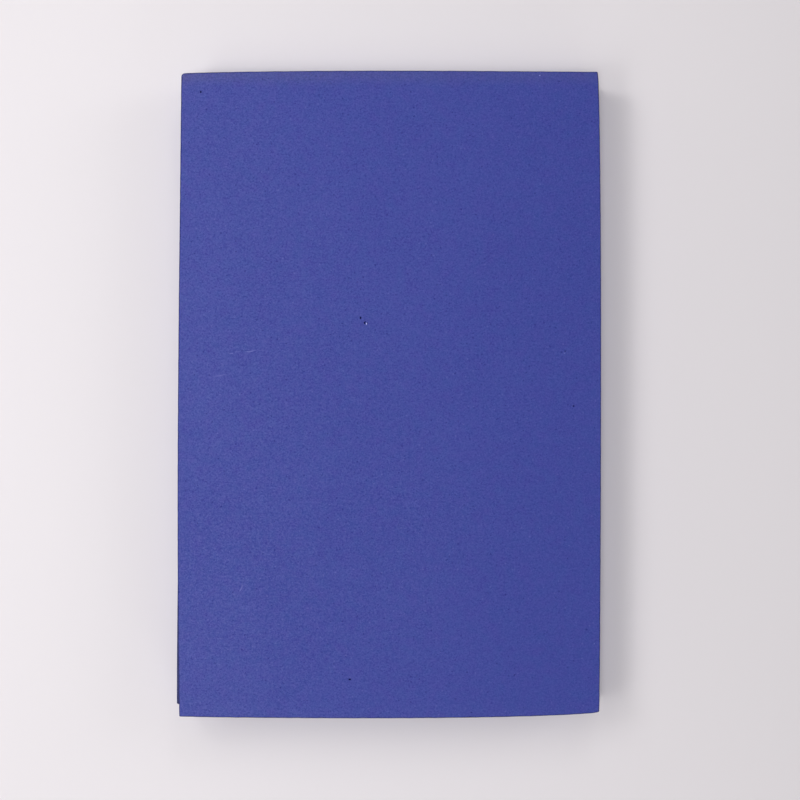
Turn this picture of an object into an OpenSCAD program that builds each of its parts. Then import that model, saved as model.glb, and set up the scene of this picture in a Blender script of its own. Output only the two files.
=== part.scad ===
// Thick foam sheet: one slab of closed-cell EVA, cut by hand from a larger board.
// X runs across the width, Y along the length, Z up through the thickness.
// The origin is at the middle of the underside's bounding rectangle, so the slab rests on Z = 0.
// Its two broad faces are flat and parallel. The four sides are knife cuts, so they bow outwards a
// little between the corners, and the corners are slightly out of square.

/* [Sheet] */
// Width of the sheet over its two bowed long sides
sheet_w = 150.5; // [100:0.1:200]
// Length of the sheet over its two bowed short sides
sheet_l = 230; // [160:0.5:300]
// Thickness of the foam
sheet_t = 15; // [8:0.5:25]
// Colour of the foam
foam_colour = "royalblue"; // [royalblue, navy, red, yellow, green, black, white, gray]

/* [Hand-cut edges] */
// How far the left long side bows out
left_bow = 0.87; // [0:0.01:2]
// How far the right long side bows out
right_bow = 1.03; // [0:0.01:2]
// How far the upper short side bows out
upper_bow = 0.71; // [0:0.01:2]
// How far the lower short side bows out; it was cut freehand, so it curves most
lower_bow = 1.63; // [0:0.01:3]
// How far each corner lies out of square, as X and Y: upper left
corner_ul = [0.5, -0.2]; // [-2:0.01:2]
// Upper right corner
corner_ur = [-0.26, 0.34]; // [-2:0.01:2]
// Lower right corner
corner_lr = [0.36, 0.75]; // [-2:0.01:2]
// Lower left corner
corner_ll = [-0.19, -0.98]; // [-2:0.01:2]
// Radius of the upper left corner, which is worn; the other three are crisp
worn_corner_r = 1.2; // [0.2:0.1:4]

/* [Foot of the left cut] */
// How far the last pass of the knife ran out under the lower left corner
foot_out = 4.25; // [0.5:0.05:6]
// Height at which that pass left the upright cut
foot_h = 5; // [2:0.5:7]

/* [Hidden] */
STEPS = 28;       // straight runs along each side
WORN_STEPS = 6;   // straight runs around the worn corner
BITE = 0.6;       // how deep the foot's flank starts inside the upright cut
START = 0.12;     // how far inside the cut the foot starts, at the upper left corner

// The four corners of the top face, before its sides bow out.
UL = [-sheet_w / 2 + left_bow, sheet_l / 2 - upper_bow] + corner_ul;
UR = [sheet_w / 2 - right_bow, sheet_l / 2 - upper_bow] + corner_ur;
LR = [sheet_w / 2 - right_bow, -sheet_l / 2 + lower_bow] + corner_lr;
LL = [-sheet_w / 2 + left_bow, -sheet_l / 2 + lower_bow] + corner_ll;

// Height of a bow at u, from 0 at one corner to 1 at the next. skew moves its crown along the side
// (1 is the middle), and fullness under 1 makes it rise faster out of the corners.
function crown(u, skew, fullness) = pow(max(0, sin(180 * pow(u, skew))), fullness);

// The point at u on the side from a to b, bowed out by bow along the outward direction n.
function side(a, b, n, bow, skew, fullness, u) = a + (b - a) * u + n * bow * crown(u, skew, fullness);

function upper_side(u) = side(UL, UR, [0, 1], upper_bow, 0.74, 0.98, u);
function right_side(u) = side(UR, LR, [1, 0], right_bow, 0.64, 0.70, u);
function lower_side(u) = side(LL, LR, [0, -1], lower_bow, 1.60, 0.45, u);
function left_side(u) = side(UL, LL, [-1, 0], left_bow, 1.41, 0.80, u);

// Where the foot's toe lies on the underside, at u down the left side.
function toe(u) = left_side(u) + [START * (1 - u) - foot_out * u, 0];

// Stations along a side, closer together near its corners, where the bow turns fastest.
function station(i) = (1 - cos(180 * i / STEPS)) / 2;

// The worn corner: a quarter turn of arc that takes the place of the point of the corner.
WORN_C = UL + [worn_corner_r, -worn_corner_r];
worn = [for (i = [0:WORN_STEPS]) WORN_C + worn_corner_r * [cos(180 - 90 * i / WORN_STEPS), sin(180 - 90 * i / WORN_STEPS)]];

// The outline of the slab, clockwise from the worn corner.
outline = concat(
    worn,
    [for (i = [1:STEPS]) let (p = upper_side(station(i))) if (p.x > WORN_C.x + 0.8) p],
    [for (i = [1:STEPS]) right_side(station(i))],
    [for (i = [1:STEPS]) lower_side(1 - station(i))],
    [for (i = [1:STEPS]) let (p = left_side(1 - station(i))) if (p.y < WORN_C.y - 0.8) p]
);

// The toe's stations stop at the lower left corner and start a little below the worn one.
foot_line = [for (i = [0:STEPS]) 0.03 + 0.97 * station(i)];

// Middle of the bounding rectangle, which is moved to the origin.
xs = concat([for (p = outline) p.x], [for (u = foot_line) toe(u).x]);
ys = [for (p = outline) p.y];
middle = [(min(xs) + max(xs)) / 2, (min(ys) + max(ys)) / 2];

// The slab: the outline straight down through the thickness.
module slab() linear_extrude(height = sheet_t) polygon(outline);

// The foot: a long wedge under the left cut. Each section of it is a triangle, with its toe out on
// the underside, its heel inside the slab, and its crest just inside the upright cut.
module foot() {
    n = len(foot_line);
    points = [for (u = foot_line) each [
        [toe(u).x, toe(u).y, 0],
        [left_side(u).x + 2 * BITE, left_side(u).y, 0],
        [left_side(u).x + BITE, left_side(u).y, foot_h]
    ]];
    faces = concat(
        [[0, 1, 2]],
        [for (k = [0:n - 2]) for (j = [0:2]) each [
            [3 * k + j, 3 * k + 3 + j, 3 * k + (j + 1) % 3],
            [3 * k + (j + 1) % 3, 3 * k + 3 + j, 3 * k + 3 + (j + 1) % 3]
        ]],
        [[3 * n - 1, 3 * n - 2, 3 * n - 3]]
    );
    polyhedron(points = points, faces = faces);
}

module foam_sheet() {
    color(foam_colour)
        translate([-middle.x, -middle.y, 0])
            union() {
                slab();
                foot();
            }
}

foam_sheet();
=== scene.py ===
import math

import bmesh
import bpy
import numpy as np
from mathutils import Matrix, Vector


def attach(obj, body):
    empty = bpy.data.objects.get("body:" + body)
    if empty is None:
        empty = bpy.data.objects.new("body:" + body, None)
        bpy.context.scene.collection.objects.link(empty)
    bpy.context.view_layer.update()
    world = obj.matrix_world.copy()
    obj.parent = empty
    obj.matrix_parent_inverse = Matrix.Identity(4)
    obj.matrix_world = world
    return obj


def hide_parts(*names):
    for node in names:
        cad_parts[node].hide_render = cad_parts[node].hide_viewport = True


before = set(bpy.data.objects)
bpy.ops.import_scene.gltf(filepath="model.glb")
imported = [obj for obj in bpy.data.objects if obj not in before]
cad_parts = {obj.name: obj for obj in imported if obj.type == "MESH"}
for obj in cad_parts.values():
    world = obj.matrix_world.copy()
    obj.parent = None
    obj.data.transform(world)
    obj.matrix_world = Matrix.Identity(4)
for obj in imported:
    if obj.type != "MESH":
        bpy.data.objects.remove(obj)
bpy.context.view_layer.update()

MM = 0.001
rng = np.random.default_rng(41)

# ---------------------------------------------------------------- camera
cam_data = bpy.data.cameras.new("camera")
cam_data.sensor_width = 36.0
cam_data.lens = 45.0
cam_data.clip_start = 0.01
cam_data.clip_end = 20.0
camera = bpy.data.objects.new("camera", cam_data)
bpy.context.scene.collection.objects.link(camera)
camera.location = (0.005620, -0.001959, 0.3702)
camera.rotation_euler = (0.0, 0.0, 0.0)
bpy.context.scene.camera = camera
bpy.context.scene.view_settings.view_transform = "Standard"
bpy.context.scene.view_settings.look = "None"

# ---------------------------------------------------------------- the sheet's form, in millimetres
SHEET_W, SHEET_L, SHEET_T = 150.5, 230.0, 15.0
LEFT_BOW, RIGHT_BOW, UPPER_BOW, LOWER_BOW = 0.87, 1.03, 0.71, 1.63
WORN_R = 1.2
FOOT_OUT, FOOT_H, BITE, START = 4.25, 5.0, 0.6, 0.12
STEPS = 28

UL = np.array([-SHEET_W / 2 + LEFT_BOW + 0.5, SHEET_L / 2 - UPPER_BOW - 0.2])
UR = np.array([SHEET_W / 2 - RIGHT_BOW - 0.26, SHEET_L / 2 - UPPER_BOW + 0.34])
LR = np.array([SHEET_W / 2 - RIGHT_BOW + 0.36, -SHEET_L / 2 + LOWER_BOW + 0.75])
LL = np.array([-SHEET_W / 2 + LEFT_BOW - 0.19, -SHEET_L / 2 + LOWER_BOW - 0.98])


def side(a, b, n, bow, skew, fullness, u):
    """Points on a side from a to b that bows out along n. The last short run at each end is straight."""
    u = np.atleast_1d(np.asarray(u, float))
    first = (1 - math.cos(math.pi / STEPS)) / 2

    def at(v):
        v = np.asarray(v, float)[:, None]
        rise = np.maximum(0, np.sin(np.pi * v**skew)) ** fullness
        return a + (b - a) * v + np.array(n) * bow * rise

    inner = at(np.clip(u, first, 1 - first))
    t = np.where(u < first, u / first, np.where(u > 1 - first, (1 - u) / first, 1.0))[:, None]
    ends = np.where((u < 0.5)[:, None], a, b)
    return ends + (inner - ends) * t


def upper_side(u):
    return side(UL, UR, (0, 1), UPPER_BOW, 0.74, 0.98, u)


def right_side(u):
    return side(UR, LR, (1, 0), RIGHT_BOW, 0.64, 0.70, u)


def lower_side(u):
    return side(LL, LR, (0, -1), LOWER_BOW, 1.60, 0.45, u)


def left_side(u):
    return side(UL, LL, (-1, 0), LEFT_BOW, 1.41, 0.80, u)


# The outline as a closed line, clockwise from the worn corner.
fine = (1 - np.cos(np.pi * np.linspace(0, 1, 4 * STEPS + 1))) / 2
worn_c = UL + np.array([WORN_R, -WORN_R])
arc = [worn_c + WORN_R * np.array([math.cos(a), math.sin(a)]) for a in np.linspace(math.pi, math.pi / 2, 13)]
top_pts = [p for p in upper_side(fine)[1:] if p[0] > worn_c[0] + 0.5]
left_pts = [p for p in left_side(1 - fine)[1:] if p[1] < worn_c[1] - 0.5]
line = np.array(arc + top_pts + list(right_side(fine)[1:]) + list(lower_side(1 - fine)[1:]) + left_pts)

# Sampled every 0.1 mm and eased a little, which rounds the upright corners as a knife leaves them.
DS = 0.1


def resample(closed, ds):
    loop = np.vstack([closed, closed[:1]])
    seg = np.linalg.norm(np.diff(loop, axis=0), axis=1)
    along = np.concatenate([[0], np.cumsum(seg)])
    n = int(round(along[-1] / ds))
    s = np.linspace(0, along[-1], n, endpoint=False)
    return np.stack([np.interp(s, along, loop[:, k]) for k in (0, 1)], axis=1)


smooth = resample(line, DS)
half = 10
kernel = np.exp(-0.5 * (np.arange(-half, half + 1) * DS / 0.18) ** 2)
kernel /= kernel.sum()
smooth = np.stack(
    [np.convolve(np.concatenate([smooth[-half:, k], smooth[:, k], smooth[:half, k]]), kernel, "valid") for k in (0, 1)],
    axis=1,
)
smooth = resample(smooth, DS)
tangent = np.roll(smooth, -2, axis=0) - np.roll(smooth, 2, axis=0)
tangent /= np.linalg.norm(tangent, axis=1)[:, None]
normal = np.stack([-tangent[:, 1], tangent[:, 0]], axis=1)
n_line = len(smooth)


def nearest(p):
    return int(np.argmin(np.sum((smooth - p) ** 2, axis=1)))


corner = [nearest(UL), nearest(UR), nearest(LR), nearest(LL)]

# Stations along each side: close together at the corners, then about 1.35 mm apart.
ends = np.array([0, 0.09, 0.18, 0.28, 0.40, 0.55, 0.75, 1.0, 1.35, 1.85, 2.55, 3.5, 4.7, 6.0])
N_MID, M_MID = 102, 160


def stations(length, mid):
    inner = np.linspace(ends[-1], length - ends[-1], mid + 1)[1:-1]
    return np.concatenate([ends, inner, length - ends[::-1]])


N = 2 * (len(ends) - 1) + N_MID
M = 2 * (len(ends) - 1) + M_MID
P = 2 * (N + M)
where = []   # position of each ring point along the smooth line, in samples
frac = []    # how far along its own side it is
for k, mid in enumerate((N_MID, M_MID, N_MID, M_MID)):
    a, b = corner[k], corner[(k + 1) % 4]
    if b <= a:
        b += n_line
    s = stations((b - a) * DS, mid)
    where.append(a + s[:-1] / DS)
    frac.append(s[:-1] / s[-1])
sides_frac = [np.append(f, 1.0) for f in frac]
where = np.concatenate(where) % n_line
side_of = np.concatenate([np.full(len(f), k) for k, f in enumerate(frac)])
frac = np.concatenate(frac)
assert len(where) == P


def on_line(values, w):
    i = np.floor(w).astype(int) % n_line
    t = (w - np.floor(w))[:, None]
    return values[i] * (1 - t) + values[(i + 1) % n_line] * t


base = on_line(smooth, where)
out = on_line(normal, where)
out /= np.linalg.norm(out, axis=1)[:, None]
along = where * DS
perimeter = n_line * DS


def ripple(waves, amp, seed):
    """Smooth closed noise along the perimeter: waves is (fewest, most) waves in one lap."""
    r = np.random.default_rng(seed)
    ks = np.unique(np.round(np.geomspace(waves[0], waves[1], 14)).astype(int))
    total = np.zeros(P)
    for k in ks:
        total += r.normal() * np.sin(2 * np.pi * k * along / perimeter + r.uniform(0, 2 * np.pi))
    return amp * total / math.sqrt(len(ks) / 2)


# ---- the foot of the left cut: u runs down the left side from the worn corner
u_left = np.where(side_of == 3, 1 - frac, 0.0)
foot_d = np.where(side_of == 3, np.maximum(0, FOOT_OUT * u_left - START * (1 - u_left)), 0.0)
crest = FOOT_H * foot_d / (foot_d + BITE)
from_ll = np.full(P, 1e9)  # distance from the lower left corner along the lower side
low = side_of == 2
from_ll[low] = (corner[3] - where[low]) * DS
SPREAD = 16.0
weight = np.zeros(P)
weight[side_of == 3] = 1.0
near = low & (from_ll < SPREAD)
weight[near] = np.where(from_ll[near] < 0.6, 1.0, (1 - (from_ll[near] - 0.6) / (SPREAD - 0.6)) ** 2)
foot_reach = np.where(side_of == 3, foot_d, FOOT_OUT * weight)
crest_all = np.where(side_of == 3, crest, FOOT_H * FOOT_OUT / (FOOT_OUT + BITE))
low_line = smooth[corner[2]:corner[3] + 1][::-1]   # from the lower left corner rightwards
keep = np.arange(len(low_line)) * DS >= 0.6
low_x, low_y = low_line[keep][:, 0], low_line[keep][:, 1]


def with_foot(pts, z):
    """Move one ring's points out for the foot, at their heights z."""
    pts = pts.copy()
    o = foot_reach * np.clip(1 - z / np.maximum(crest_all, 1e-6), 0, 1)
    o = np.where((side_of == 3) | near, o, 0)
    pts[:, 0] -= o
    moved = near & (from_ll >= 0.6) & (o > 1e-6)
    follow = np.interp(pts[:, 0], low_x, low_y, left=low_y[0])
    follow0 = np.interp(pts[:, 0] + o, low_x, low_y, left=low_y[0])
    pts[moved, 1] += (follow - follow0)[moved]
    return pts


# ---- knife passes: three lines where one pass of the blade met the next
def eased(x, reach):
    return np.clip(x / reach, 0, 1) ** 2 * (3 - 2 * np.clip(x / reach, 0, 1))


seam1 = 11.3 + ripple((2, 9), 0.30, 1) + ripple((14, 40), 0.10, 2)
seam2 = 7.0 + ripple((2, 9), 0.34, 3) + ripple((14, 40), 0.12, 4)
seam3 = 2.9 + ripple((2, 9), 0.22, 5) + ripple((14, 40), 0.08, 6)
left_seam = np.maximum(crest, 1.3)
seam3 = np.where(side_of == 3, left_seam, seam3)
t_ll = eased(from_ll, 26.0)
seam3 = np.where(low, crest_all * (1 - t_ll) + seam3 * t_ll, seam3)
from_ul = np.where(side_of == 0, frac * 148.0, 1e9)
t_ul = eased(from_ul, 26.0)
seam3 = np.where(side_of == 0, 1.3 * (1 - t_ul) + seam3 * t_ul, seam3)

r_top = 0.30 + np.clip(ripple((30, 160), 0.035, 7), -0.07, 0.07)
nick = ripple((60, 190), 0.007, 8)

# The foot: how far each point of the ring belongs to it, below its crest.
on_foot = np.clip(foot_reach / 0.8, 0, 1)
r_bot = 0.16 - 0.10 * on_foot

band = [ripple((6, 60), 0.050, 11 + k) for k in range(4)]
lean = [0.006, -0.010, 0.012, 0.0]
drop = [0.0, -0.10, -0.05, -0.12]


def wall_offset(z):
    """How far the wall stands in from the outline at height z, from the four passes of the blade."""
    o = np.zeros(P)
    edges = [SHEET_T + 1, seam1, seam2, seam3, -1]
    for k in range(4):
        upper, lower = edges[k], edges[k + 1]
        upper = np.broadcast_to(upper, (P,))
        lower = np.broadcast_to(lower, (P,))
        inside = eased(upper + 0.10 - z, 0.20) * eased(z - lower + 0.10, 0.20)
        fade = eased(SHEET_T - z, 2.5)
        o += inside * (drop[k] * fade + lean[k] * (z - (np.minimum(upper, SHEET_T) + np.maximum(lower, 0)) / 2) * fade
                       + (band[k] - 0.09) * fade)
    for s, h in ((seam1, 0.035), (seam2, 0.045), (seam3, 0.03)):
        o += h * np.exp(-((z - s) / 0.13) ** 2)
    low_down = np.clip((crest_all - z) / np.maximum(crest_all, 1e-6), 0, 1)
    return np.minimum(o, 0.0) * (1 - 0.9 * on_foot * low_down)


levels = []   # (offset from the outline, height), from the top face down to the underside
for a in (0, 20, 42, 66, 90):
    t = math.radians(a)
    levels.append((-r_top * (1 - math.sin(t)) + nick * math.sin(t) + 0.06, SHEET_T - r_top * (1 - math.cos(t))))


def add_wall(z):
    top_fade = eased(SHEET_T - 0.3 - z, 1.5)
    levels.append((wall_offset(z) + (nick + 0.06) * (1 - top_fade), z))


gap = (0.36, 0.15, 0.0, -0.12, -0.32)
prev = SHEET_T - r_top
for seam in (seam1, seam2, seam3):
    first = seam + gap[0]
    for t in (0.25, 0.5, 0.75):
        add_wall(prev + (first - prev) * t)
    for g in gap:
        add_wall(seam + g)
    prev = seam + gap[-1]
for t in (0.28, 0.56, 0.82):
    add_wall(prev + (r_bot - prev) * t)
foot_wall = wall_offset(r_bot)
for a in (0, 30, 60, 90):
    t = math.radians(a)
    levels.append((foot_wall - r_bot * (1 - math.cos(t)), r_bot * (1 - math.sin(t))))
K = len(levels)

rings = []
foot_shade_weight = []
end_fade = np.where(low, np.clip(1 - (from_ll - 0.6) / 1.6, 0, 1), 1.0)   # the foot's painted shade stops just round the corner
for o, z in levels:
    pts = with_foot(base + out * o[:, None], z)
    rings.append(np.column_stack([pts, z]))
    foot_shade_weight.append(np.clip((crest_all + 0.1 - z) / 0.25, 0, 1) * np.clip(foot_reach / 0.25, 0, 1) * end_fade)
rings = np.array(rings)  # K, P, 3
foot_shade_weight = np.array(foot_shade_weight)


def patch(ring, u, v):
    """A Coons patch over one ring: (N + 1) by (M + 1) points, from its four sides."""
    upper = ring[: N + 1]
    right = ring[N: N + M + 1]
    lower = ring[N + M: 2 * N + M + 1][::-1]
    left = np.vstack([ring[2 * N + M:], ring[:1]])[::-1]
    U, V = u[:, None, None], v[None, :, None]
    out_ = (1 - V) * upper[:, None] + V * lower[:, None] + (1 - U) * left[None] + U * right[None]
    out_ -= (1 - U) * (1 - V) * upper[0] + U * (1 - V) * upper[-1] + (1 - U) * V * lower[0] + U * V * lower[-1]
    return out_


u_top = (sides_frac[0] + (1 - sides_frac[2][::-1])) / 2
v_top = (sides_frac[1] + (1 - sides_frac[3][::-1])) / 2
top = patch(rings[0], u_top, v_top)
bottom = patch(rings[-1], u_top, v_top)


def swell(x, y, waves, wavelengths, seed):
    """Smooth noise over the plane, about -1 to 1: a sum of plane waves."""
    r = np.random.default_rng(seed)
    total = np.zeros_like(x)
    for _ in range(waves):
        a, w = r.uniform(0, 2 * np.pi), np.exp(r.uniform(*np.log(wavelengths)))
        total += np.sin(2 * np.pi * (x * np.cos(a) + y * np.sin(a)) / w + r.uniform(0, 2 * np.pi))
    return total / math.sqrt(waves / 2) / 2


# The top face: level to a few hundredths, with a faint wave and a faint fall to its cut edges.
ix = np.arange(N + 1)[:, None] * np.ones((1, M + 1))
x, y = top[..., 0], top[..., 1]
edge_gap = np.minimum(
    np.minimum(np.cumsum(np.concatenate([[0], np.diff(u_top)]))[:, None] * 148, (1 - u_top)[:, None] * 148),
    np.minimum(v_top[None, :] * 228, (1 - v_top)[None, :] * 228),
)
inner_w = eased(edge_gap, 4.0)
wave = 0.022 * swell(x, y, 16, (28, 90), 21) + 0.007 * swell(x, y, 40, (5, 12), 22)
top[..., 2] += inner_w * (wave - 0.03) - 0.0

# ---- one mesh
verts = [rings.reshape(-1, 3)]
top_id = -np.ones((N + 1, M + 1), int)
bot_id = -np.ones((N + 1, M + 1), int)


def edge_ids(table, first):
    table[np.arange(N + 1), 0] = first + np.arange(N + 1)
    table[N, np.arange(M + 1)] = first + N + np.arange(M + 1)
    table[np.arange(N, -1, -1), M] = first + N + M + np.arange(N + 1)
    table[0, np.arange(M, 0, -1)] = first + 2 * N + M + np.arange(M)


edge_ids(top_id, 0)
edge_ids(bot_id, (K - 1) * P)
count = K * P
inside_n = (N - 1) * (M - 1)
top_id[1:N, 1:M] = count + np.arange(inside_n).reshape(N - 1, M - 1)
verts.append(top[1:N, 1:M].reshape(-1, 3))
count += inside_n
bot_id[1:N, 1:M] = count + np.arange(inside_n).reshape(N - 1, M - 1)
verts.append(bottom[1:N, 1:M].reshape(-1, 3))
count += inside_n
verts = np.vstack(verts)

faces = []
a, b, c, d = top_id[:-1, :-1], top_id[:-1, 1:], top_id[1:, 1:], top_id[1:, :-1]
faces.append(np.stack([a, b, c, d], -1).reshape(-1, 4))
a, b, c, d = bot_id[:-1, :-1], bot_id[:-1, 1:], bot_id[1:, 1:], bot_id[1:, :-1]
faces.append(np.stack([a, d, c, b], -1).reshape(-1, 4))
p0 = np.arange(P)
p1 = (p0 + 1) % P
for k in range(K - 1):
    faces.append(np.stack([k * P + p0, k * P + p1, (k + 1) * P + p1, (k + 1) * P + p0], -1))
faces = np.vstack(faces)

# The part's own origin is the middle of its box on the underside, toe of the foot included.
toe_u = 0.03 + 0.97 * fine
toe_x = left_side(toe_u)[:, 0] + START * (1 - toe_u) - FOOT_OUT * toe_u
xs_lo = min(smooth[:, 0].min(), toe_x.min())
shift = np.array([(xs_lo + smooth[:, 0].max()) / 2, (smooth[:, 1].min() + smooth[:, 1].max()) / 2, 0])
verts = verts - shift

# ---------------------------------------------------------------- marks on the top face
# Pinholes where a bubble opened: x, y, half length, half width, turn in degrees, depth, strength of the painted shade
# in the pit (lengths in mm).
PITS = [
    (-65.16, 107.46, 0.32, 0.20, 90, 0.80, 1.0),
    (-8.36, 27.25, 0.34, 0.24, 90, 0.70, 1.0),
    (-6.97, 25.43, 0.36, 0.22, 88, 0.85, 1.0),
    (-6.63, 25.92, 0.16, 0.14, 0, 0.25, 0.7),
    (-5.92, 25.38, 0.26, 0.14, 90, 0.30, 0.7),
    (63.16, 15.06, 0.30, 0.26, 0, 0.20, 0.45),
    (64.36, 15.37, 0.24, 0.20, 0, 0.30, 0.75),
    (-12.19, -101.24, 0.38, 0.20, 0, 0.75, 1.0),
    (71.93, -83.55, 0.44, 0.38, 30, 0.14, 0.18),
    (46.30, -99.67, 0.36, 0.30, 60, 0.16, 0.38),
    (31.02, -113.00, 0.36, 0.24, 0, 0.14, 0.45),
    (67.32, -4.09, 0.32, 0.26, 0, 0.40, 0.75),
    (38.0, 62.0, 0.16, 0.13, 20, 0.12, 0.4),
    (-40.0, -31.0, 0.15, 0.13, 50, 0.12, 0.4),
    (22.5, -58.5, 0.16, 0.13, 0, 0.12, 0.4),
]
# A crumb that stands up beside the largest pinhole.
CRUMBS = [(-6.28, 25.14, 0.30, 0.15, 88, 0.15)]

mesh = bpy.data.meshes.new("foam_sheet_surface")
mesh.from_pydata((verts * MM).tolist(), [], faces.tolist())
mesh.update()

bm = bmesh.new()
bm.from_mesh(mesh)
bm.faces.ensure_lookup_table()
centres = np.array([f.calc_center_median()[:] for f in bm.faces]) / MM
marks = PITS + CRUMBS
chosen = set()
for mx, my, *_ in marks:
    d2 = (centres[:, 0] - mx) ** 2 + (centres[:, 1] - my) ** 2
    for i in np.nonzero((d2 < 1.5**2) & (centres[:, 2] > SHEET_T - 0.12))[0]:
        chosen.add(int(i))
picked = {e for i in chosen for e in bm.faces[i].edges}
bmesh.ops.subdivide_edges(bm, edges=list(picked), cuts=7, use_grid_fill=True)
# and once more right at each mark
bm.faces.ensure_lookup_table()
centres = np.array([f.calc_center_median()[:] for f in bm.faces]) / MM
picked = set()
for mx, my, la, *_ in marks:
    d2 = (centres[:, 0] - mx) ** 2 + (centres[:, 1] - my) ** 2
    for i in np.nonzero((d2 < (la + 0.25) ** 2) & (centres[:, 2] > SHEET_T - 0.12))[0]:
        picked.update(bm.faces[int(i)].edges)
bmesh.ops.subdivide_edges(bm, edges=list(picked), cuts=2, use_grid_fill=True)
pit_shade_layer = {}
crumb_layer = {}
for v in bm.verts:
    vx, vy, vz = v.co.x / MM, v.co.y / MM, v.co.z / MM
    if vz < SHEET_T - 0.12:
        continue
    for mx, my, la, lb, turn, depth, pit_shade_strength in PITS:
        if abs(vx - mx) < 1.2 and abs(vy - my) < 1.2:
            t = math.radians(turn)
            qa = ((vx - mx) * math.cos(t) + (vy - my) * math.sin(t)) / la
            qb = (-(vx - mx) * math.sin(t) + (vy - my) * math.cos(t)) / lb
            q = math.hypot(qa, qb)
            fall = 1 / (1 + math.exp((q - 1.0) * 8.0))
            lip = 0.012 * math.exp(-((q - 1.6) / 0.35) ** 2)
            v.co.z += (-depth * fall + lip) * MM
            pit_shade_layer[v] = max(pit_shade_layer.get(v, 0), fall * pit_shade_strength)
    for mx, my, la, lb, turn, height in CRUMBS:
        if abs(vx - mx) < 1.0 and abs(vy - my) < 1.0:
            t = math.radians(turn)
            qa = ((vx - mx) * math.cos(t) + (vy - my) * math.sin(t)) / la
            qb = (-(vx - mx) * math.sin(t) + (vy - my) * math.cos(t)) / lb
            q = math.hypot(qa, qb)
            rise = 1 / (1 + math.exp((q - 1.0) * 6.0))
            v.co.z += height * rise * MM
            crumb_layer[v] = rise
bm.normal_update()
bm.to_mesh(mesh)
pit_shade_values = np.zeros(len(bm.verts))
bm.verts.index_update()
for v, f in pit_shade_layer.items():
    pit_shade_values[v.index] = f
crumb_values = np.zeros(len(bm.verts))
for v, f in crumb_layer.items():
    crumb_values[v.index] = f
bm.free()
mesh.update()
for poly in mesh.polygons:
    poly.use_smooth = True

sheet = bpy.data.objects.new("eva_sheet", mesh)
bpy.context.scene.collection.objects.link(sheet)

# How much of each point belongs to a cut side, and how much painted shade it takes in a pinhole.
co = np.zeros(len(mesh.vertices) * 3)
mesh.vertices.foreach_get("co", co)
co = co.reshape(-1, 3) / MM
nz = np.zeros(len(mesh.vertices) * 3)
mesh.vertices.foreach_get("normal", nz)
nz = nz.reshape(-1, 3)[:, 2]
cut = np.clip((0.985 - np.abs(nz)) / 0.16, 0, 1)
cut[: 5 * P] = 1   # the line where the blade came through the skin
cut[K * P:] = 0   # the cut sides are the rings; the rest is the two faces
SKIN_LIP = 0.24   # the blade crushed the skin's first few cells, so the cut's shade runs a little way onto the face
first, last = K * P, K * P + inside_n
cut[first:last] = np.clip(1 - edge_gap[1:N, 1:M].reshape(-1) / SKIN_LIP, 0, 1)
added = np.arange(K * P + 2 * inside_n, len(mesh.vertices))
added = added[co[added, 2] > SHEET_T - 0.5]
for chunk in np.array_split(added, max(1, len(added) // 1500)):
    gap_xy = co[chunk, None, :2] + shift[None, None, :2] - smooth[None]
    reach = np.sqrt((gap_xy**2).sum(2).min(1))
    cut[chunk] = np.clip(1 - (reach - 0.30) / SKIN_LIP, 0, 1)
# the foot's flank is marked for painted shade
foot_shade_values = np.zeros(len(mesh.vertices))
foot_shade_values[: K * P] = foot_shade_weight.reshape(-1)
assert np.abs(co[: K * P] - verts[: K * P]).max() < 1e-3
assert np.abs(co[: K * P + 2 * inside_n, :2] - verts[:, :2]).max() < 1e-3
attr = mesh.attributes.new("cut_side", "FLOAT", "POINT")
attr.data.foreach_set("value", cut.astype(np.float32))
attr = mesh.attributes.new("pinhole", "FLOAT", "POINT")
attr.data.foreach_set("value", pit_shade_values.astype(np.float32))
attr = mesh.attributes.new("crumb", "FLOAT", "POINT")
attr.data.foreach_set("value", crumb_values.astype(np.float32))
attr = mesh.attributes.new("foot", "FLOAT", "POINT")
attr.data.foreach_set("value", foot_shade_values.astype(np.float32))


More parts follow.
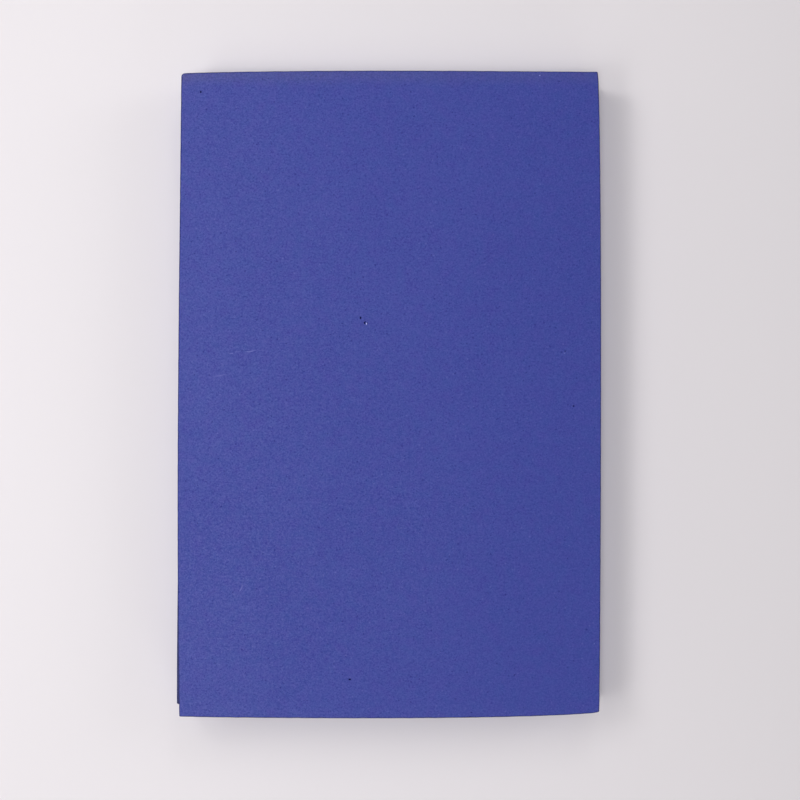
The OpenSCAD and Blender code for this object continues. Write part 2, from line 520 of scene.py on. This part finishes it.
# ---------------------------------------------------------------- the foam's material
class Nodes:
    """A short way to write a node tree."""

    def __init__(self, tree):
        self.tree = tree
        self.x = 0

    def new(self, kind, **settings):
        node = self.tree.nodes.new(kind)
        node.location = (self.x, 0)
        self.x += 40
        for k, v in settings.items():
            setattr(node, k, v)
        return node

    def put(self, socket, value):
        if isinstance(value, bpy.types.NodeSocket):
            self.tree.links.new(value, socket)
        else:
            socket.default_value = value

    def math(self, op, a, b=0.0, c=0.0, clamp=False):
        n = self.new("ShaderNodeMath", operation=op, use_clamp=clamp)
        self.put(n.inputs[0], a)
        self.put(n.inputs[1], b)
        if op in ("MULTIPLY_ADD", "SMOOTH_MIN", "SMOOTH_MAX"):
            self.put(n.inputs[2], c)
        return n.outputs[0]

    def span(self, value, lo, hi, to_lo=0.0, to_hi=1.0, kind="SMOOTHSTEP"):
        n = self.new("ShaderNodeMapRange", interpolation_type=kind)
        self.put(n.inputs[0], value)
        for k, v in enumerate((lo, hi, to_lo, to_hi)):
            self.put(n.inputs[k + 1], v)
        return n.outputs[0]

    def mix(self, factor, a, b):
        n = self.new("ShaderNodeMix", data_type="RGBA")
        self.put(n.inputs["Factor"], factor)
        colours = [s for s in n.inputs if s.type == "RGBA"]
        for s, v in zip(colours, (a, b)):
            self.put(s, v if isinstance(v, bpy.types.NodeSocket) else (*v, 1.0))
        return next(s for s in n.outputs if s.type == "RGBA")

    def scale_colour(self, colour, factor):
        n = self.new("ShaderNodeVectorMath", operation="SCALE")
        self.put(n.inputs[0], colour)
        self.put(n.inputs["Scale"], factor)
        return n.outputs[0]

    def noise(self, vector, scale, detail=2.0, rough=0.5, distortion=0.0):
        n = self.new("ShaderNodeTexNoise")
        self.put(n.inputs["Vector"], vector)
        n.inputs["Scale"].default_value = scale
        n.inputs["Detail"].default_value = detail
        n.inputs["Roughness"].default_value = rough
        n.inputs["Distortion"].default_value = distortion
        return n.outputs[0]

    def cells(self, vector, scale, feature="F1"):
        n = self.new("ShaderNodeTexVoronoi", feature=feature)
        self.put(n.inputs["Vector"], vector)
        n.inputs["Scale"].default_value = scale
        return n

    def mapping(self, vector, location=(0, 0, 0), rotation=(0, 0, 0), scale=(1, 1, 1)):
        n = self.new("ShaderNodeMapping", vector_type="POINT")
        self.put(n.inputs["Vector"], vector)
        n.inputs["Location"].default_value = location
        n.inputs["Rotation"].default_value = rotation
        n.inputs["Scale"].default_value = scale
        return n.outputs[0]

    def bump(self, height, distance, strength=1.0, normal=None):
        n = self.new("ShaderNodeBump")
        n.inputs["Strength"].default_value = strength
        n.inputs["Distance"].default_value = distance
        self.put(n.inputs["Height"], height)
        if normal is not None:
            self.put(n.inputs["Normal"], normal)
        return n.outputs[0]


def foam_material():
    mat = bpy.data.materials.new("blue_foam")
    mat.use_nodes = True
    tree = mat.node_tree
    tree.nodes.clear()
    g = Nodes(tree)
    shader = g.new("ShaderNodeBsdfPrincipled")
    end = g.new("ShaderNodeOutputMaterial")
    tree.links.new(shader.outputs[0], end.inputs[0])
    where_ = g.new("ShaderNodeTexCoord").outputs["Object"]
    split = g.new("ShaderNodeSeparateXYZ")
    g.put(split.inputs[0], where_)
    X, Y, Z = split.outputs
    is_cut = g.new("ShaderNodeAttribute", attribute_name="cut_side").outputs["Fac"]
    is_pit = g.new("ShaderNodeAttribute", attribute_name="pinhole").outputs["Fac"]

    foot_painted_shade = g.new("ShaderNodeAttribute", attribute_name="foot").outputs["Fac"]

    # the closed cells, which a splitting blade opens: each a small cup of its own shade
    cell = g.cells(where_, 2600.0)
    cell_tone = g.new("ShaderNodeSeparateColor")
    g.put(cell_tone.inputs[0], cell.outputs["Color"])
    tone = cell_tone.outputs[0]
    cup = cell.outputs["Distance"]
    fine_cell = g.cells(where_, 5200.0)
    fine_cup = fine_cell.outputs["Distance"]
    grain = g.noise(where_, 1400.0, 6.0, 0.62)
    mottle = g.noise(where_, 42.0, 3.0, 0.5)

    # shade: 0.5 is the middle
    shade = g.math("MULTIPLY_ADD", g.math("SUBTRACT", tone, 0.5), 0.40, 0.5)
    shade = g.math("ADD", shade, g.math("MULTIPLY", g.math("SUBTRACT", grain, 0.5), 1.1))
    shade = g.math("ADD", shade, g.math("MULTIPLY", g.math("SUBTRACT", mottle, 0.5), 0.10))
    # painted light: the grain's contrast is raised on the left, where the lamps rake across it, and lowered towards the
    # lower right
    across = g.math("MULTIPLY_ADD", Y, -0.6, X)
    grain_contrast_painted_light = g.math("MULTIPLY", g.span(X, -0.075, 0.0, 0.99, 0.91), g.span(across, 0.05, 0.13, 1.0, 0.84))
    shade = g.math("MULTIPLY_ADD", g.math("SUBTRACT", shade, 0.5), grain_contrast_painted_light, 0.5)
    shade = g.math("ADD", shade, 0.0, clamp=True)
    # here and there a larger cell: an open one reads dark, a rubbed one light
    big = g.cells(where_, 950.0)
    big_tone = g.new("ShaderNodeSeparateColor")
    g.put(big_tone.inputs[0], big.outputs["Color"])
    big_core = g.span(big.outputs["Distance"], 0.16, 0.42, 1.0, 0.0)
    open_cell = g.math("MULTIPLY", big_core, g.span(big_tone.outputs[0], 0.90, 0.97))
    rubbed_cell = g.math("MULTIPLY", big_core, g.span(big_tone.outputs[1], 0.91, 0.98))
    skin = g.mix(shade, (0.011, 0.0227, 0.238), (0.0325, 0.0508, 0.376))
    # the pigment is a little uneven, so the hue drifts between blue and violet
    drift = g.math("SUBTRACT", g.noise(where_, 250.0, 3.0, 0.6), 0.5)
    drift_xyz = g.new("ShaderNodeCombineXYZ")
    g.put(drift_xyz.inputs[0], g.math("MULTIPLY", drift, 0.018))
    g.put(drift_xyz.inputs[1], g.math("MULTIPLY", drift, -0.018))
    tinted = g.new("ShaderNodeVectorMath", operation="ADD")
    g.put(tinted.inputs[0], skin)
    g.put(tinted.inputs[1], drift_xyz.outputs[0])
    skin = tinted.outputs[0]
    skin = g.mix(g.math("MULTIPLY", open_cell, 0.30), skin, (0.0, 0.004, 0.105))
    skin = g.mix(g.math("MULTIPLY", rubbed_cell, 0.07), skin, (0.40, 0.42, 0.90))

    # dust and rubbed cell walls, in a narrow band along the upper edge and at the worn corner
    upper_gap = g.math("SUBTRACT", 0.1150, Y)
    wander = g.noise(g.mapping(where_, scale=(1.0, 2.2, 1.0)), 70.0, 4.0, 0.6)
    rim = g.span(g.math("ADD", upper_gap, g.math("MULTIPLY", g.math("SUBTRACT", wander, 0.5), 0.003)), 0.0012, 0.0062, 1.0, 0.0)
    rim_left = g.span(X, -0.075, 0.05, 0.20, 0.13)
    corner_gap = g.new("ShaderNodeVectorMath", operation="DISTANCE")
    g.put(corner_gap.inputs[0], where_)
    corner_gap.inputs[1].default_value = (-0.0715, 0.1145, 0.015)
    corner_dust = g.span(corner_gap.outputs["Value"], 0.0, 0.012, 0.06, 0.0)
    speckle = g.span(g.noise(where_, 1500.0, 3.0, 0.7), 0.30, 0.72)
    dust = g.math("ADD", g.math("MULTIPLY", rim, rim_left), corner_dust)
    dust = g.math("MULTIPLY", dust, g.math("MULTIPLY_ADD", speckle, 0.7, 0.65), clamp=True)
    colour = g.mix(dust, skin, (0.103, 0.092, 0.119))

    # light scuffs: x, y, turn, half length, half width, strength
    scuffs = (
        (-47.66, 15.29, 9, 2.2, 0.28, 0.15),
        (-58.49, 6.70, 10, 2.6, 0.30, 0.10),
        (-54.6, 14.63, 0, 1.2, 0.28, 0.10),
        (-52.1, 15.27, 10, 1.5, 0.25, 0.07),
        (-50.8, -68.9, 64, 1.6, 0.32, 0.12),
        (55.28, 113.28, 0, 0.32, 0.24, 0.50),
        (74.67, -88.52, 60, 0.4, 0.22, 0.16),
        (64.05, 14.60, 10, 0.35, 0.22, 0.22),
    )
    total = None
    for sx, sy, turn, la, lb, strength in scuffs:
        a = math.radians(turn)
        co_, si_ = math.cos(a), math.sin(a)
        dx = g.math("SUBTRACT", X, sx * MM)
        dy = g.math("SUBTRACT", Y, sy * MM)
        qa = g.math("ADD", g.math("MULTIPLY", dx, co_ / (la * MM)), g.math("MULTIPLY", dy, si_ / (la * MM)))
        qb = g.math("ADD", g.math("MULTIPLY", dx, -si_ / (lb * MM)), g.math("MULTIPLY", dy, co_ / (lb * MM)))
        qb = g.math("ADD", qb, g.math("MULTIPLY", g.math("MULTIPLY", qa, qa), -0.6))
        q = g.math("ADD", g.math("MULTIPLY", qa, qa), g.math("MULTIPLY", qb, qb))
        one = g.span(q, 0.15, 1.25, strength, 0.0)
        total = one if total is None else g.math("ADD", total, one)
    total = g.math("MULTIPLY", total, g.span(Z, 0.0140, 0.0147))
    colour = g.mix(total, colour, (0.40, 0.42, 0.90))

    # pinholes are deep, and painted shade darkens their colour too; the crumb beside one of them is torn foam, nearly
    # white
    colour = g.mix(is_pit, colour, (0.0, 0.004, 0.105))
    is_crumb = g.new("ShaderNodeAttribute", attribute_name="crumb").outputs["Fac"]
    colour = g.mix(is_crumb, colour, (0.55, 0.58, 0.98))

    # the cut sides: cells opened by the knife, so deeper in shade, with drag lines and pass lines
    drag = g.noise(g.mapping(where_, rotation=(0, 0, 0), scale=(1.0, 1.0, 0.35)), 900.0, 5.0, 0.6)
    streak = g.noise(g.mapping(where_, scale=(0.06, 0.06, 1.0)), 2600.0, 3.0, 0.6)
    cut_shade = g.math("ADD", g.math("MULTIPLY", drag, 0.6), g.math("MULTIPLY", streak, 0.4))
    cut_shade = g.span(cut_shade, 0.34, 0.66)
    cut_colour = g.mix(cut_shade, (0.009, 0.017, 0.150), (0.024, 0.038, 0.262))
    # painted shade: the foot's flank is darkened further, as if in shade under the left edge
    cut_colour = g.mix(foot_painted_shade, cut_colour, g.scale_colour(cut_colour, 0.55))
    on_rim = g.math("MULTIPLY", is_cut, g.span(Z, 0.0143, 0.0148))
    cut_colour = g.mix(on_rim, cut_colour, g.scale_colour(cut_colour, 0.70))
    colour = g.mix(is_cut, colour, cut_colour)
    g.put(shader.inputs["Base Color"], colour)

    # roughness: matt, a little smoother where the skin is rubbed, and roughest where the knife went
    rough = g.span(shade, 0.1, 0.9, 0.97, 0.45, "LINEAR")
    rough = g.math("ADD", rough, g.math("MULTIPLY", is_cut, 0.15))
    rough = g.math("ADD", rough, g.math("MULTIPLY", is_pit, 0.30), clamp=True)
    g.put(shader.inputs["Roughness"], rough)
    # less reflection: on the foot's flank as painted shade, in open cells, and along the cut rim
    less = g.math("MULTIPLY", foot_painted_shade, g.math("MULTIPLY", is_cut, 0.45))
    less = g.math("MAXIMUM", less, g.math("MULTIPLY", open_cell, 0.40))
    less = g.math("MAXIMUM", less, g.math("MULTIPLY", on_rim, 0.35))
    # painted sheen: the reflection's tint is raised on the left, where the lamps stand, near the lower left corner and
    # along the lower and left edges, and lowered to the right
    painted_sheen_left = g.math("SUBTRACT", g.span(X, -0.075, 0.0, 0.91, 0.83), g.span(X, 0.0, 0.07, 0.0, 0.055))
    painted_sheen_corner = g.new("ShaderNodeVectorMath", operation="DISTANCE")
    g.put(painted_sheen_corner.inputs[0], where_)
    painted_sheen_corner.inputs[1].default_value = (-0.0735, -0.1145, 0.015)
    painted_sheen_left = g.math("ADD", painted_sheen_left, g.span(painted_sheen_corner.outputs["Value"], 0.0, 0.055, 0.075, 0.0))
    painted_sheen_low_band = g.math("MULTIPLY", g.span(Y, -0.1148, -0.1085, 0.055, 0.0), g.span(X, -0.075, 0.05, 1.0, 0.5))
    painted_sheen_left_band = g.math("MULTIPLY", g.span(X, -0.0733, -0.0705, 0.060, 0.0), g.span(Y, -0.09, 0.09, 1.0, 0.1))
    painted_sheen_left = g.math("ADD", painted_sheen_left, g.math("ADD", painted_sheen_low_band, painted_sheen_left_band), clamp=True)
    # the pinholes lose their reflection too, as painted shade
    gloss_with_painted_light = g.math("MULTIPLY", painted_sheen_left, g.math("SUBTRACT", 1.0, g.math("MAXIMUM", less, is_pit), clamp=True))
    tint = g.new("ShaderNodeCombineXYZ")
    for k in range(3):
        g.put(tint.inputs[k], gloss_with_painted_light)
    g.put(shader.inputs["Specular Tint"], tint.outputs[0])
    shader.inputs["IOR"].default_value = 1.50
    shader.inputs["Specular IOR Level"].default_value = 0.91
    shader.inputs["Sheen Weight"].default_value = 0.04
    shader.inputs["Sheen Roughness"].default_value = 0.5

    # relief, finest last
    height = g.math("ADD", g.math("MULTIPLY", cup, 0.55), g.math("MULTIPLY", fine_cup, 0.25))
    height = g.math("ADD", height, g.math("MULTIPLY", grain, 0.8))
    n1 = g.bump(height, 0.00012, 1.0)
    drag_h = g.math("ADD", g.math("MULTIPLY", drag, 0.5), g.math("MULTIPLY", streak, 0.8))
    n2 = g.bump(g.math("MULTIPLY", drag_h, is_cut), 0.00010, 1.0, n1)
    g.put(shader.inputs["Normal"], n2)
    return mat


sheet.data.materials.append(foam_material())
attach(sheet, "root")
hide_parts("foam_sheet")

# ---------------------------------------------------------------- floor
floor_mesh = bpy.data.meshes.new("floor")
R_FLOOR = 3.0
ring_n = 96
fv = [(0, 0, 0)]
radii = (0.25, 0.6, 1.2, R_FLOOR)
for r in radii:
    fv += [(r * math.cos(2 * math.pi * k / ring_n), r * math.sin(2 * math.pi * k / ring_n), 0) for k in range(ring_n)]
ff = [(0, 1 + k, 1 + (k + 1) % ring_n) for k in range(ring_n)]
for j in range(len(radii) - 1):
    a0, b0 = 1 + j * ring_n, 1 + (j + 1) * ring_n
    ff += [(a0 + k, b0 + k, b0 + (k + 1) % ring_n, a0 + (k + 1) % ring_n) for k in range(ring_n)]
floor_mesh.from_pydata(fv, [], ff)
floor = bpy.data.objects.new("floor", floor_mesh)
bpy.context.scene.collection.objects.link(floor)
floor.location = (0, 0, -0.00001)
fmat = bpy.data.materials.new("pale_floor")
fmat.use_nodes = True
fs = fmat.node_tree.nodes["Principled BSDF"]
fs.inputs["Base Color"].default_value = (0.83, 0.79, 0.816, 1)
fs.inputs["Roughness"].default_value = 0.95
fs.inputs["Specular IOR Level"].default_value = 0.15
# Far from the sheet the floor turns into the pale sweep behind it, so that low views end in no dark line.
fg = Nodes(fmat.node_tree)
far = fg.new("ShaderNodeVectorMath", operation="LENGTH")
fg.put(far.inputs[0], fg.new("ShaderNodeTexCoord").outputs["Object"])
sweep = fg.new("ShaderNodeEmission")
fg.put(sweep.inputs["Color"], fg.mix(fg.span(far.outputs["Value"], 0.30, 1.00), (0.80, 0.785, 0.795), (0.70, 0.69, 0.70)))
blend = fg.new("ShaderNodeMixShader")
fg.put(blend.inputs[0], fg.span(far.outputs["Value"], 0.24, 0.78))
fmat.node_tree.links.new(fs.outputs[0], blend.inputs[1])
fmat.node_tree.links.new(sweep.outputs[0], blend.inputs[2])
fend = next(n for n in fmat.node_tree.nodes if n.type == "OUTPUT_MATERIAL")
fmat.node_tree.links.new(blend.outputs[0], fend.inputs[0])
fmat.cycles.emission_sampling = "NONE"
floor.data.materials.append(fmat)

# ---------------------------------------------------------------- light
# azimuth from +X, elevation, distance, side of the square, share of the light at the middle of the floor
LAMPS = [
    (180, 52, 0.6, 0.15, 0.0409),
    (18, 18, 2.2, 1.10, 0.1487),
    (129, 52, 0.6, 0.15, 0.0631),
    (140, 40, 0.6, 0.15, 0.0720),
    (240, 76, 0.9, 0.225, 0.2246),
    (80, 40, 0.6, 0.15, 0.0882),
    (220, 40, 0.6, 0.15, 0.0496),
    (206, 52, 0.6, 0.15, 0.1054),
    (288, 18, 0.6, 0.15, 0.0748),
    (160, 40, 1.4, 0.35, 0.1103),
]
for k, (az, el, dist, size, share) in enumerate(LAMPS):
    lamp = bpy.data.lights.new(f"lamp_{k}", "AREA")
    lamp.shape = "SQUARE"
    lamp.size = size
    lamp.energy = share * dist * dist * math.pi**2 / 0.8
    lamp.color = (1.0, 1.0, 1.0)
    o = bpy.data.objects.new(f"lamp_{k}", lamp)
    a, e = math.radians(az), math.radians(el)
    o.location = (dist * math.cos(a) * math.cos(e), dist * math.sin(a) * math.cos(e), dist * math.sin(e))
    o.rotation_euler = (-Vector(o.location)).to_track_quat("-Z", "Y").to_euler()
    o.visible_camera = False
    bpy.context.scene.collection.objects.link(o)

world = bpy.data.worlds.new("studio")
bpy.context.scene.world = world
world.use_nodes = True
wt = world.node_tree
wt.nodes.clear()
wg = Nodes(wt)
background = wg.new("ShaderNodeBackground")
wend = wg.new("ShaderNodeOutputWorld")
wt.links.new(background.outputs[0], wend.inputs[0])
direction = wg.new("ShaderNodeTexCoord").outputs["Generated"]
wsplit = wg.new("ShaderNodeSeparateXYZ")
wg.put(wsplit.inputs[0], direction)
rise = wg.span(wsplit.outputs[2], math.sin(math.radians(14)), math.sin(math.radians(26)))
wg.put(background.inputs["Color"], wg.mix(rise, (0.70, 0.69, 0.70), (0.10, 0.10, 0.10)))
background.inputs["Strength"].default_value = 1.0
